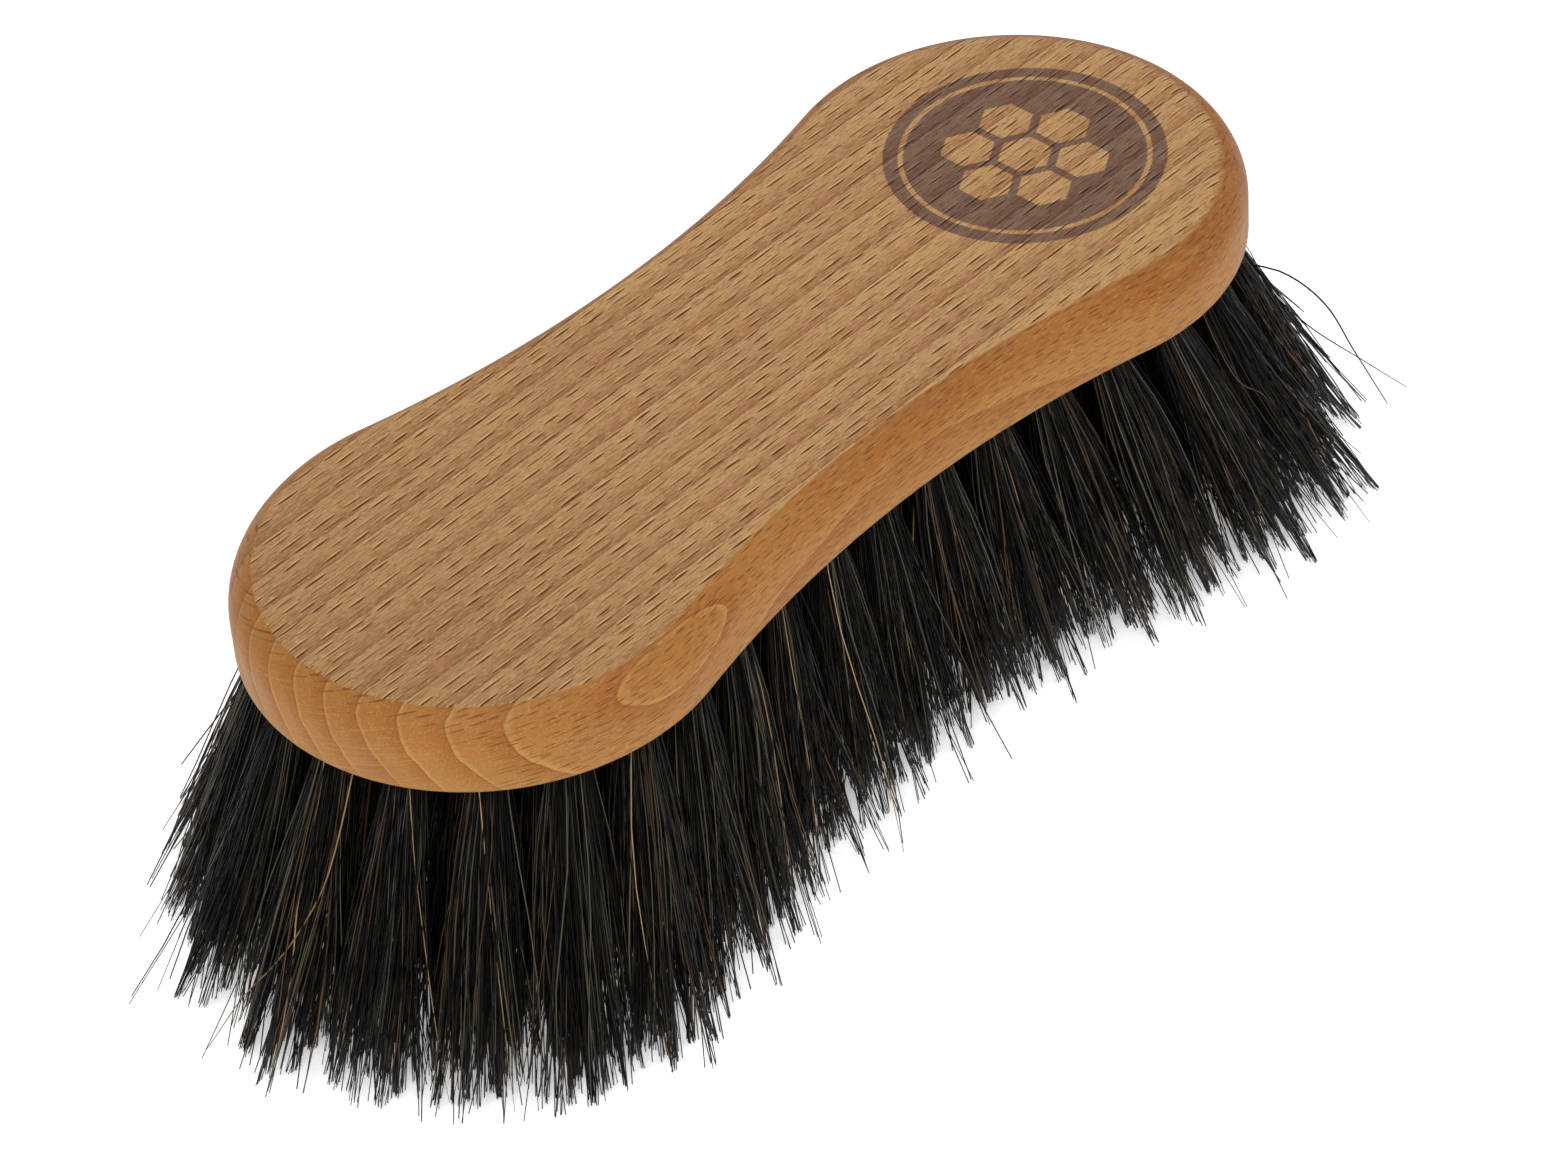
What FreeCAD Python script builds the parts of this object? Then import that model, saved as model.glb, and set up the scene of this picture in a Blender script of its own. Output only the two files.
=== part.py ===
"""Hand brush with a waisted hardwood block and drilled-in horsehair tufts.

The block is one piece of beech. Every tuft is a bundle of hair folded in half over a short length of
flat wire, the anchor, and driven into a blind hole. The anchor's ends bite into the wall of the hole.

Frame: millimetres, +Z up, +X along the block. The origin is the centre of the plane in which the
tufts are trimmed, so the brush stands on z = 0 on its bristles.
"""

import FreeCAD, Part

import math
import os

# Block
BLOCK_LENGTH = 205.0
BLOCK_WIDTH = 80.7
BLOCK_THICKNESS = 14.2
WAIST_DEPTH = 7.55  # how far each long side is scooped in at the middle
SHOULDER_RADIUS = 8.4  # the convex round-over of the top edge
SHOULDER_PLANED = 1.0  # taken off the rounded top, which leaves the crease around the flat
UNDERSIDE_EDGE_RADIUS = 0.8

# Holes, drilled from the underside
HOLE_DIAMETER = 6.0
DRILL_POINT_ANGLE = 118.0
WOOD_OVER_HOLE = 3.4  # from the drill's point to the flat top
EDGE_MARGIN = 8.0  # from the block's outline to the outer row of holes

# Tufts
BRISTLE_LENGTH = 55.0  # from the underside to the trimmed tips, straight down
OUTER_TUFTS = 36
MIDDLE_TUFTS = 30
LOBE_TUFTS = 5  # in the small ring inside each lobe
CENTRE_TUFTS = 7  # along the centre line, between the two small rings
TUFT_TIP_DIAMETER = 14.0  # the widest that a tuft splays at its tips
TUFT_CLEARANCE = 0.2  # between a tuft and the wall and bottom of its hole
TIP_GAP = 0.8  # between neighbouring tufts at their tips

# The tufts fan out. Each leans away from the middle as if it hung from a line far above the block,
# and the lower that line is, the more the tufts lean.
FAN_HEIGHT_LENGTHWAYS = 260.0
FAN_HEIGHT_LOBE = 137.0
FAN_HEIGHT_WAIST = 178.0

# Anchors, cut from flat wire
ANCHOR_THICKNESS = 0.5
ANCHOR_HEIGHT = 2.0
ANCHOR_BITE = 0.3  # how far each end goes into the wood
ANCHOR_EDGE_RADIUS = 0.2
ANCHOR_CLEARANCE = 0.05
HAIR_OVER_ANCHOR = 1.3  # thickness of the fold of hair between the anchor and the hole's bottom

# Sizes that follow from those above
half_width = BLOCK_WIDTH / 2
waist_half_width = half_width - WAIST_DEPTH
lobe_x = BLOCK_LENGTH / 2 - half_width
waist_radius = (lobe_x**2 + waist_half_width**2 - half_width**2) / (2 * WAIST_DEPTH)
waist_centre_y = waist_half_width + waist_radius
lobe_half_turn = math.atan2(waist_centre_y, -lobe_x)

underside_z = BRISTLE_LENGTH
top_z = underside_z + BLOCK_THICKNESS
hole_point_z = top_z - WOOD_OVER_HOLE

hole_radius = HOLE_DIAMETER / 2
tuft_radius = hole_radius - TUFT_CLEARANCE
point_half_angle = math.radians(DRILL_POINT_ANGLE / 2)
point_height = hole_radius / math.tan(point_half_angle)
anchor_length = HOLE_DIAMETER + 2 * ANCHOR_BITE

# The middle row runs halfway between the outer row and the centre line at the waist, and the small
# ring in each lobe halfway between the middle row and the lobe's centre.
middle_margin = (EDGE_MARGIN + waist_half_width) / 2
lobe_ring_radius = (half_width - middle_margin) / 2
centre_pitch = 2 * (lobe_x - lobe_ring_radius) / (CENTRE_TUFTS + 1)

OVERSHOOT = 3.0  # how far cutting tools run past the face that they cut
SAME = 1e-6  # lengths closer than this count as equal


def on_circle(x, y, radius, angle):
    """The point at this angle on a circle about (x, y)."""
    return x + radius * math.cos(angle), y + radius * math.sin(angle)


def row_point(margin, share):
    """A point on the curve that runs this margin inside the outline.

    share goes from 0 to 1 once around, anticlockwise from the +X end.
    """
    lobe = half_width - margin
    waist = waist_radius + margin
    waist_half_turn = lobe_half_turn - math.pi / 2
    lobe_run = lobe * lobe_half_turn
    waist_run = waist * waist_half_turn
    quarter = lobe_run + waist_run
    quadrant = int(4 * share) % 4
    along = (4 * share) % 1 * quarter
    if quadrant in (1, 3):
        along = quarter - along
    if along <= lobe_run:
        x, y = on_circle(lobe_x, 0, lobe, along / lobe)
    else:
        x, y = on_circle(0, waist_centre_y, waist, (quarter - along) / waist - math.pi / 2)
    if quadrant in (1, 2):
        x = -x
    if quadrant in (2, 3):
        y = -y
    return x, y


def row(margin, count):
    """Places at even steps along the row this far inside the outline."""
    return [row_point(margin, i / count) for i in range(count)]


def lobe_ring(side):
    """Places in the ring inside the lobe at side -1 or +1, one of them facing the waist."""
    turns = [math.pi + 2 * math.pi * i / LOBE_TUFTS for i in range(LOBE_TUFTS)]
    ring = [on_circle(lobe_x, 0, lobe_ring_radius, turn) for turn in turns]
    return [(side * x, y) for x, y in ring]


def centre_line():
    """Places along the centre line, evenly between the two lobe rings."""
    middle = (CENTRE_TUFTS - 1) / 2
    return [((i - middle) * centre_pitch, 0.0) for i in range(CENTRE_TUFTS)]


def tip_place(x, y):
    """Where the tuft rooted at (x, y) meets the trim plane."""
    toward_lobe = min(1.0, (x / lobe_x) ** 2)
    waist_lean = 1 / FAN_HEIGHT_WAIST
    lobe_lean = 1 / FAN_HEIGHT_LOBE
    lean = waist_lean + (lobe_lean - waist_lean) * toward_lobe
    tip_x = x * (1 + BRISTLE_LENGTH / FAN_HEIGHT_LENGTHWAYS)
    tip_y = y * (1 + BRISTLE_LENGTH * lean)
    return tip_x, tip_y


class Seat:
    """One tuft's place: its root in the underside, its axis, and how wide it splays."""

    def __init__(self, place):
        self.root = FreeCAD.Vector(place[0], place[1], underside_z)
        self.tip = FreeCAD.Vector(*tip_place(*place), 0)
        self.up = (self.root - self.tip).normalize()
        self.tilt = self.up.getAngle(FreeCAD.Vector(0, 0, 1))
        self.tip_radius = 0.0

    def splay(self, seats):
        """Sets the radius at the tips, up to the nearest neighbour or to the widest splay."""
        nearest = min(self.tip.distanceToPoint(other.tip) for other in seats if other is not self)
        room = (nearest - TIP_GAP) / 2
        self.tip_radius = min(room, TUFT_TIP_DIAMETER / 2) * math.cos(self.tilt)

    def placement(self, along):
        """A frame on the axis, this far up from the root, with its X lying along the block."""
        across = self.up.cross(FreeCAD.Vector(1, 0, 0)).normalize()
        turn = FreeCAD.Rotation(across.cross(self.up), across, self.up, "ZXY")
        return FreeCAD.Placement(self.root + self.up * along, turn)

    def depth(self):
        """From the underside to the drill's point, along the axis."""
        return (hole_point_z - underside_z) / math.cos(self.tilt)

    def tuft_end(self):
        """From the underside to the centre of the tuft's rounded fold, along the axis."""
        return self.depth() - (tuft_radius + TUFT_CLEARANCE) / math.sin(point_half_angle)

    def anchor_middle(self):
        """From the underside to the middle of the anchor, along the axis."""
        return self.tuft_end() + tuft_radius - HAIR_OVER_ANCHOR - ANCHOR_HEIGHT / 2


def bar(length, thickness, height, placement):
    """A box centred on a placement."""
    box = Part.makeBox(length, thickness, height, FreeCAD.Vector(-length / 2, -thickness / 2, -height / 2))
    return box.transformed(placement.toMatrix())


def anchor_space(seat):
    """What the anchor takes out of the block and the tuft: the anchor with its clearance."""
    slack = 2 * ANCHOR_CLEARANCE
    placement = seat.placement(seat.anchor_middle())
    return bar(anchor_length + slack, ANCHOR_THICKNESS + slack, ANCHOR_HEIGHT + slack, placement)


def make_anchor(seat):
    """A short length of flat wire with rounded edges."""
    placement = seat.placement(seat.anchor_middle())
    wire = bar(anchor_length, ANCHOR_THICKNESS, ANCHOR_HEIGHT, FreeCAD.Placement())
    long_edges = [edge for edge in wire.Edges if abs(edge.Length - anchor_length) < SAME]
    return wire.makeFillet(ANCHOR_EDGE_RADIUS, long_edges).transformed(placement.toMatrix())


def make_hole(seat):
    """The drilled hole as a solid, with the two nicks that the anchor cuts in its wall."""
    straight = seat.depth() - point_height
    mouth = seat.root - seat.up * OVERSHOOT
    shoulder = seat.root + seat.up * straight
    drill = Part.makeCylinder(hole_radius, straight + OVERSHOOT, mouth, seat.up)
    point = Part.makeCone(hole_radius, 0, point_height, shoulder, seat.up)
    return drill.fuse([point, anchor_space(seat)])


def make_tuft(seat):
    """A bundle of hair: a rounded fold, a straight shank in the hole, then a flare to the trimmed tips."""
    fold = seat.tuft_end()
    free = BRISTLE_LENGTH / math.cos(seat.tilt)
    flare = (seat.tip_radius - tuft_radius) / free
    past = seat.tip_radius * math.tan(seat.tilt) + OVERSHOOT
    crown = FreeCAD.Vector(0, 0, fold + tuft_radius)
    slant = FreeCAD.Vector(tuft_radius * math.sqrt(0.5), 0, fold + tuft_radius * math.sqrt(0.5))
    shank_top = FreeCAD.Vector(tuft_radius, 0, fold)
    shank_foot = FreeCAD.Vector(tuft_radius, 0, 0)
    rim = FreeCAD.Vector(seat.tip_radius + flare * past, 0, -free - past)
    foot = FreeCAD.Vector(0, 0, -free - past)
    edges = [
        Part.Arc(crown, slant, shank_top).toShape(),
        Part.makeLine(shank_top, shank_foot),
        Part.makeLine(shank_foot, rim),
        Part.makeLine(rim, foot),
        Part.makeLine(foot, crown),
    ]
    profile = Part.Face(Part.Wire(edges))
    bundle = profile.revolve(FreeCAD.Vector(0, 0, 0), FreeCAD.Vector(0, 0, 1), 360)
    bundle = bundle.transformed(seat.placement(0).toMatrix())
    reach = BLOCK_LENGTH
    below = Part.makeBox(reach, reach, reach, seat.tip - FreeCAD.Vector(reach / 2, reach / 2, reach))
    return bundle.cut([below, anchor_space(seat)])


def outline():
    """The block's outline at its underside: two lobes joined by two hollow sides."""

    def point(x, y):
        return FreeCAD.Vector(x, y, underside_z)

    joint_x, joint_y = on_circle(lobe_x, 0, half_width, lobe_half_turn)
    end_x = BLOCK_LENGTH / 2
    edges = [
        Part.Arc(point(joint_x, -joint_y), point(end_x, 0), point(joint_x, joint_y)),
        Part.Arc(point(joint_x, joint_y), point(0, waist_half_width), point(-joint_x, joint_y)),
        Part.Arc(point(-joint_x, joint_y), point(-end_x, 0), point(-joint_x, -joint_y)),
        Part.Arc(point(-joint_x, -joint_y), point(0, -waist_half_width), point(joint_x, -joint_y)),
    ]
    return Part.Face(Part.Wire([edge.toShape() for edge in edges]))


def edges_at(shape, z):
    """The edges that lie in the horizontal plane at this height."""
    return [e for e in shape.Edges if abs(e.BoundBox.ZMin - z) < SAME and abs(e.BoundBox.ZMax - z) < SAME]


def make_block(seats):
    """The wooden block: rounded over, planed flat on top, and drilled from below."""
    rough_top = top_z + SHOULDER_PLANED
    blank = outline().extrude(FreeCAD.Vector(0, 0, rough_top - underside_z))
    blank = blank.makeFillet(SHOULDER_RADIUS, edges_at(blank, rough_top))
    blank = blank.makeFillet(UNDERSIDE_EDGE_RADIUS, edges_at(blank, underside_z))
    corner = FreeCAD.Vector(-BLOCK_LENGTH, -BLOCK_WIDTH, top_z)
    shavings = Part.makeBox(2 * BLOCK_LENGTH, 2 * BLOCK_WIDTH, 2 * SHOULDER_PLANED, corner)
    return blank.cut(shavings).cut([make_hole(seat) for seat in seats])


def save(name, shape):
    """Writes one named sub-part."""
    shape.exportStep(f"parts/{name}.step")
    print(name, len(shape.Solids), "solid(s)", round(shape.Volume, 1), "mm3")


def save_group(name, solids):
    """Writes several separate solids as one named sub-part."""
    save(name, Part.makeCompound(solids))


def main():
    os.makedirs("parts", exist_ok=True)
    outer = [Seat(place) for place in row(EDGE_MARGIN, OUTER_TUFTS)]
    middle = [Seat(place) for place in row(middle_margin, MIDDLE_TUFTS)]
    left = [Seat(place) for place in lobe_ring(-1)]
    right = [Seat(place) for place in lobe_ring(1)]
    centre = [Seat(place) for place in centre_line()]
    seats = outer + middle + left + right + centre
    for seat in seats:
        seat.splay(seats)

    save("block", make_block(seats))
    for i, seat in enumerate(outer):
        save(f"tuft_outer_{i + 1:02d}", make_tuft(seat))
    for i in range(0, MIDDLE_TUFTS, 2):
        save_group(f"tufts_middle_{i // 2 + 1:02d}", [make_tuft(seat) for seat in middle[i : i + 2]])
    save_group("tufts_lobe_left", [make_tuft(seat) for seat in left])
    save_group("tufts_lobe_right", [make_tuft(seat) for seat in right])
    save_group("tufts_centre", [make_tuft(seat) for seat in centre])
    save_group("anchors_outer", [make_anchor(seat) for seat in outer])
    save_group("anchors_middle", [make_anchor(seat) for seat in middle])
    save_group("anchors_lobes", [make_anchor(seat) for seat in left + right])
    save_group("anchors_centre", [make_anchor(seat) for seat in centre])


main()
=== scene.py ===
"""Looks of the waisted hand brush: a beech block, and tufts of separate hairs in place of the plain solids.

Blender works in metres. Sizes here are in millimetres and are multiplied by MM where a mesh is made.
"""

import math

import bmesh
import bpy
import numpy as np
from mathutils import Matrix, Vector
from mathutils.geometry import tessellate_polygon


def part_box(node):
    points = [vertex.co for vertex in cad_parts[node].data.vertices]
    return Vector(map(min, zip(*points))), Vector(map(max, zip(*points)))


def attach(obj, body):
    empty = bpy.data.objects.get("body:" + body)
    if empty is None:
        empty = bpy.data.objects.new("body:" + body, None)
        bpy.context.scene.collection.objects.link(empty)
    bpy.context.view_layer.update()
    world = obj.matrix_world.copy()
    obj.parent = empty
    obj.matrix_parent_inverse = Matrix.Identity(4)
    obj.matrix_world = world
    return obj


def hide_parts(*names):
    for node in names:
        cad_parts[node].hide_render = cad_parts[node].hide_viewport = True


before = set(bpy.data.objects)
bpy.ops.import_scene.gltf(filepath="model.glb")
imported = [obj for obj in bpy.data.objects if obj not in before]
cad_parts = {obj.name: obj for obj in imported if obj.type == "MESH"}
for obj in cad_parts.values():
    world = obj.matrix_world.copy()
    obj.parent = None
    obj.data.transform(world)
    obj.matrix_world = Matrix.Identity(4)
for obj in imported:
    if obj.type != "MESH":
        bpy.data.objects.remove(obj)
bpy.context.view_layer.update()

MM = 0.001


def millimetres(corner):
    """A corner of a box of the frame, in millimetres."""
    return np.array(corner, float) / MM


# ---------------------------------------------------------------- sizes

block_low, block_high = (millimetres(corner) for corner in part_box("block"))
half_length = (block_high[0] - block_low[0]) / 2
half_width = (block_high[1] - block_low[1]) / 2
underside_z = block_low[2]
top_z = block_high[2]

WAIST_DEPTH = 7.55
SHOULDER_RADIUS = 8.4
SHOULDER_PLANED = 1.0
UNDERSIDE_EDGE_RADIUS = 0.8
EDGE_MARGIN = 8.0  # from the block's edge to the middle of the outer row of holes
HOLE_RADIUS = 3.0
HOLE_DEPTH = 9.0
HOLE_POINT = 1.8

lobe_x = half_length - half_width
waist_half_width = half_width - WAIST_DEPTH
waist_radius = (lobe_x**2 + waist_half_width**2 - half_width**2) / (2 * WAIST_DEPTH)
waist_centre_y = waist_half_width + waist_radius
lobe_half_turn = math.atan2(waist_centre_y, -lobe_x)


# ---------------------------------------------------------------- helpers


def linear(red, green, blue):
    """A colour given as 0 to 255 on a screen, as Blender's linear colour."""
    out = []
    for value in (red, green, blue):
        share = value / 255
        out.append(share / 12.92 if share <= 0.04045 else ((share + 0.055) / 1.055) ** 2.4)
    return (*out, 1.0)


def ease(values, low, high):
    """0 below low and 1 above high, with a smooth rise between."""
    share = np.clip((values - low) / (high - low), 0, 1)
    return share * share * (3 - 2 * share)


def add_object(name, mesh, material):
    """A mesh with its material, in the scene."""
    mesh.materials.append(material)
    piece = bpy.data.objects.new(name, mesh)
    bpy.context.scene.collection.objects.link(piece)
    return piece


class Shader:
    """A material's nodes, with a short call for each kind."""

    def __init__(self, name):
        self.material = bpy.data.materials.new(name)
        self.material.use_nodes = True
        self.tree = self.material.node_tree
        self.surface = self.tree.nodes["Principled BSDF"]

    def link(self, value, socket):
        """Feeds a socket from another socket, or sets it to a plain value."""
        if isinstance(value, bpy.types.NodeSocket):
            self.tree.links.new(value, socket)
        else:
            socket.default_value = value

    def with_surface(self, **values):
        """Sets the surface's sockets, named with _ for each space, and returns the material."""
        for name, value in values.items():
            self.link(value, self.surface.inputs[name.replace("_", " ")])
        return self.material

    def node(self, kind, **settings):
        made = self.tree.nodes.new("ShaderNode" + kind)
        for name, value in settings.items():
            setattr(made, name, value)
        return made

    def math(self, operation, *values):
        made = self.node("Math", operation=operation)
        for value, socket in zip(values, made.inputs):
            self.link(value, socket)
        return made.outputs[0]

    def combine(self, x, y, z):
        made = self.node("CombineXYZ")
        for value, socket in zip((x, y, z), made.inputs):
            self.link(value, socket)
        return made.outputs[0]

    def separate(self, vector):
        made = self.node("SeparateXYZ")
        self.link(vector, made.inputs[0])
        return made.outputs

    def mix(self, factor, a, b, blend="MIX"):
        """Mixes two colours."""
        made = self.node("Mix", data_type="RGBA", blend_type=blend)
        self.link(factor, made.inputs["Factor"])
        self.link(a, made.inputs[6])
        self.link(b, made.inputs[7])
        return made.outputs[2]

    def tint(self, colour, towards, strength, *masks):
        """Mixes a colour toward another, by the strength where every mask is 1."""
        for mask in masks:
            strength = self.math("MULTIPLY", strength, mask)
        return self.mix(strength, colour, towards)

    def span(self, value, low, high, to_low=0.0, to_high=1.0, smooth=True):
        """Maps low..high to to_low..to_high, held at the ends."""
        made = self.node("MapRange", interpolation_type="SMOOTHSTEP" if smooth else "LINEAR")
        for given, socket in zip((value, low, high, to_low, to_high), made.inputs):
            self.link(given, socket)
        return made.outputs[0]

    def between(self, share, low, high):
        """The value at a share of the way from low to high."""
        return self.span(share, 0.0, 1.0, low, high, smooth=False)

    def ramp(self, value, stops):
        """Looks a value up in a list of (place, colour)."""
        made = self.node("ValToRGB")
        band = made.color_ramp
        band.elements[0].position, band.elements[0].color = stops[0]
        band.elements[1].position, band.elements[1].color = stops[-1]
        for place, colour in stops[1:-1]:
            band.elements.new(place).color = colour
        self.link(value, made.inputs[0])
        return made.outputs[0]

    def noise(self, vector, scale, detail=2.0, roughness=0.5):
        made = self.node("TexNoise")
        self.link(vector, made.inputs["Vector"])
        made.inputs["Scale"].default_value = scale
        made.inputs["Detail"].default_value = detail
        made.inputs["Roughness"].default_value = roughness
        return made.outputs["Fac"]

    def random(self, x, y, z):
        """A random value and colour for each whole place."""
        made = self.node("TexWhiteNoise", noise_dimensions="3D")
        self.link(self.combine(x, y, z), made.inputs["Vector"])
        return made.outputs["Value"], made.outputs["Color"]

    def attribute(self, name):
        return self.node("Attribute", attribute_name=name).outputs["Fac"]

    def place(self):
        """The place on the object, in millimetres, as x, y and z."""
        scaled = self.node("VectorMath", operation="SCALE")
        self.link(self.node("TexCoord").outputs["Object"], scaled.inputs[0])
        scaled.inputs["Scale"].default_value = 1 / MM
        return self.separate(scaled.outputs[0])


# ---------------------------------------------------------------- beech

STUDIO = 1.41  # how much brighter than its own colour a level surface looks in this light

RING_SPACING = 6.3
RING_START = 3.0  # the line of one ring on the flat, from the middle of the block
WIDE_RING_FROM = -28.5  # the next ring toward -Y is wider, by this share of a ring
WIDER = 0.45
RING_LEAN = 0.12  # how far a ring leans across the block for each millimetre below the flat ...
RING_SWEEP = 0.022  # ... and for each millimetre squared
RING_DRIFT = (1.2, 3.4)  # how far rings have drifted across below the flat, at -X and at +X
RING_DRIFT_X = 75.0
RING_DRIFT_DOWN = (0.5, 6.0)
RING_BEND = 5.0  # how far the slow noise and the ripple move a ring
RING_RIPPLE = 1.3

BULGE_X = -53.2  # where one ring swells under the shoulder, how far down, how deep, how long and high
BULGE_DOWN = 4.0
BULGE_DEPTH = 4.4
BULGE_REACH = (12.3, 3.8)
BULGE_Y = (-27.0, -34.0)

EMBLEM_X = 66.0
EMBLEM_Y = -0.8
EMBLEM_RADIUS = 23.85
EMBLEM_LINE_RADIUS = 20.9
EMBLEM_LINE_WIDTH = 0.9
EMBLEM_RAGGED = 0.5
CELL_PITCH = 9.8
CELL_GAP = 1.5
INK_SOFT = 0.12  # half the width over which the edge of the ink fades
INK = (0.37, 0.37, 0.57, 1.0)

# Layers of noise: how much each is drawn out along the block, its scale, its detail and its roughness
BEND_NOISE = (0.22, 0.035, 1.0, 0.5)
RIPPLE_NOISE = (0.10, 0.20, 2.0, 0.5)
FIBRE_NOISE = (0.10, 3.4, 2.0, 0.6)
STREAK_NOISE = (0.045, 0.62, 2.0, 0.5)
PATCH_NOISE = (0.4, 0.05, 2.0, 0.5)
GRAIN_NOISE = (0.6, 5.0, 1.0, 0.7)
WINDING_NOISE = (0.25, 0.09, 2.0, 0.5)
MOTTLE_NOISE = (0.40, 2.3, 2.0, 0.6)

# Rows of flecks: the pitch along a row, a row's width, half a fleck's length and width, and a seed
FLECK_ROWS = (6.4, 1.75, 3.1, 0.22, 3)
FINE_ROWS = (4.4, 0.66, 2.1, 0.14, 11)
GLINT_PAINTED_SHIFT = 0.34  # from a fleck to the painted glint beside it, a pale highlight line
FINE_SHIFT = 0.3
ROW_WINDING = 1.6
ROW_STAGGER = 9.0
FLECK_ASIDE = (0.38, 0.62)  # where in a row's width a fleck lies
SHORTEST = 0.6  # the smallest fleck, as a share of the largest

# Flecks on the side: the cell along the grain, across and deep, and half a fleck's length and width
SIDE_CELL = (3.8, 0.95, 9.0)
SIDE_FLECK = (1.9, 0.16)


def seen(red, green, blue):
    """The colour that looks like this one in the studio's light."""
    return (*(value / STUDIO for value in linear(red, green, blue)[:3]), 1.0)


TOP_EARLY = seen(203, 159, 107)
TOP_LATE = seen(181, 130, 86)
TOP_LINE = seen(124, 76, 46)
TOP_START = seen(212, 172, 120)
TOP_STREAK = seen(158, 108, 73)
# Painted shade for the -X end of the flat.
TOP_NEAR_END_SHADE = seen(140, 98, 62)
EDGE_EARLY = seen(181, 123, 58)
EDGE_LATE = seen(167, 103, 41)
EDGE_LINE = seen(142, 84, 36)
EDGE_START = seen(206, 156, 88)
# Painted shade of the crease, with a redder hue of the wood.
EDGE_SHOULDER_SHADE = seen(152, 88, 34)
EDGE_FOOT = seen(184, 137, 80)
PATCH = seen(156, 104, 66)
FIBRE_DARK = seen(140, 96, 58)
FIBRE_PALE = seen(206, 166, 112)
GRAIN = seen(128, 86, 52)
MOTTLE_DARK = seen(132, 84, 44)
MOTTLE_PALE = seen(218, 176, 122)
FLECK = seen(82, 36, 0)
# The pale line beside each fleck is a painted glint: a highlight painted into the colour.
GLINT_PAINTED_COLOUR = seen(230, 190, 132)
FLECK_FINE = seen(120, 66, 14)
FLECK_SIDE = seen(104, 56, 24)
FLECK_END = seen(210, 162, 100)


def stretched(wood, place, along, across=1.0, down=1.0):
    """The place along, across and down the block, each multiplied by its own number."""
    x, y, z = place
    return wood.combine(
        wood.math("MULTIPLY", x, along),
        wood.math("MULTIPLY", y, across),
        wood.math("MULTIPLY", z, down),
    )


def layer(wood, place, along, scale, detail, roughness):
    """One layer of noise, drawn out along the block."""
    return wood.noise(stretched(wood, place, along), scale, detail, roughness)


def moved(wood, value, noise, reach):
    """A value moved by a noise, by up to half the reach each way."""
    return wood.math("MULTIPLY_ADD", wood.math("SUBTRACT", noise, 0.5), reach, value)


def spindles(wood, place, cell, half_length, half_width):
    """A mask of short flecks along the grain, one in each cell of a lattice.

    place and cell are for the directions along the grain, across the fleck, and through its depth.
    """
    vector = stretched(wood, place, *(1 / size for size in cell))
    cells = wood.node("TexVoronoi", feature="F1")
    wood.link(vector, cells.inputs["Vector"])
    cells.inputs["Scale"].default_value = 1.0
    cells.inputs["Randomness"].default_value = 0.85
    offset = wood.node("VectorMath", operation="SUBTRACT")
    wood.link(vector, offset.inputs[0])
    wood.link(cells.outputs["Position"], offset.inputs[1])
    run, aside, _ = wood.separate(offset.outputs[0])
    long, wide, strong = wood.separate(cells.outputs["Color"])
    length = half_length / cell[0]
    width = half_width / cell[1]
    u = wood.math("DIVIDE", run, wood.between(long, 0.45 * length, length))
    v = wood.math("DIVIDE", aside, wood.between(wide, 0.5 * width, width))
    reach = wood.math("MULTIPLY_ADD", u, u, wood.math("ABSOLUTE", v))
    strength = wood.span(strong, 0.0, 0.6, 0.45, 1.0, smooth=False)
    return wood.math("MULTIPLY", wood.span(reach, 1.10, 0.75), strength)


def dashes(wood, along, across, pitch, row, half_length, half_width, seed, shift=0.0):
    """A mask of short flecks in rows: one in each pitch of a row, with its own place, size and strength."""
    rows = wood.math("DIVIDE", across, row)
    line = wood.math("FLOOR", rows)
    stagger, _ = wood.random(line, seed, 0.0)
    steps = wood.math("MULTIPLY_ADD", stagger, ROW_STAGGER, wood.math("DIVIDE", along, pitch))
    cell = wood.math("FLOOR", steps)
    _, placing = wood.random(cell, line, seed + 1)
    _, sizing = wood.random(cell, line, seed + 2)
    ahead, aside, _ = wood.separate(placing)
    long, wide, strong = wood.separate(sizing)

    length = half_length / pitch
    width = half_width / row
    centre = wood.between(ahead, length, 1 - length)
    run = wood.math("SUBTRACT", wood.math("SUBTRACT", steps, cell), centre)
    middle = wood.between(aside, *FLECK_ASIDE)
    off = wood.math("SUBTRACT", wood.math("SUBTRACT", rows, line), middle)
    off = wood.math("SUBTRACT", off, shift / row)
    u = wood.math("DIVIDE", run, wood.between(long, SHORTEST * length, length))
    v = wood.math("DIVIDE", off, wood.between(wide, SHORTEST * width, width))
    reach = wood.math("MULTIPLY_ADD", u, u, wood.math("ABSOLUTE", v))
    strength = wood.span(strong, 0.05, 0.6, 0.15, 1.0, smooth=False)
    return wood.math("MULTIPLY", wood.span(reach, 1.15, 0.70), strength)


def hexagon(wood, x, y, centre_x, centre_y):
    """The distance of a place from a hexagon's centre, measured to its flats."""
    dx = wood.math("ABSOLUTE", wood.math("SUBTRACT", x, centre_x))
    dy = wood.math("ABSOLUTE", wood.math("SUBTRACT", y, centre_y))
    slant = wood.math("MULTIPLY_ADD", dy, math.sqrt(0.75), wood.math("MULTIPLY", dx, 0.5))
    return wood.math("MAXIMUM", dx, slant)


def inside(wood, distance, limit, soft=INK_SOFT):
    """1 where a distance is under its limit, with a soft edge."""
    return wood.span(distance, limit + soft, limit - soft)


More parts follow.
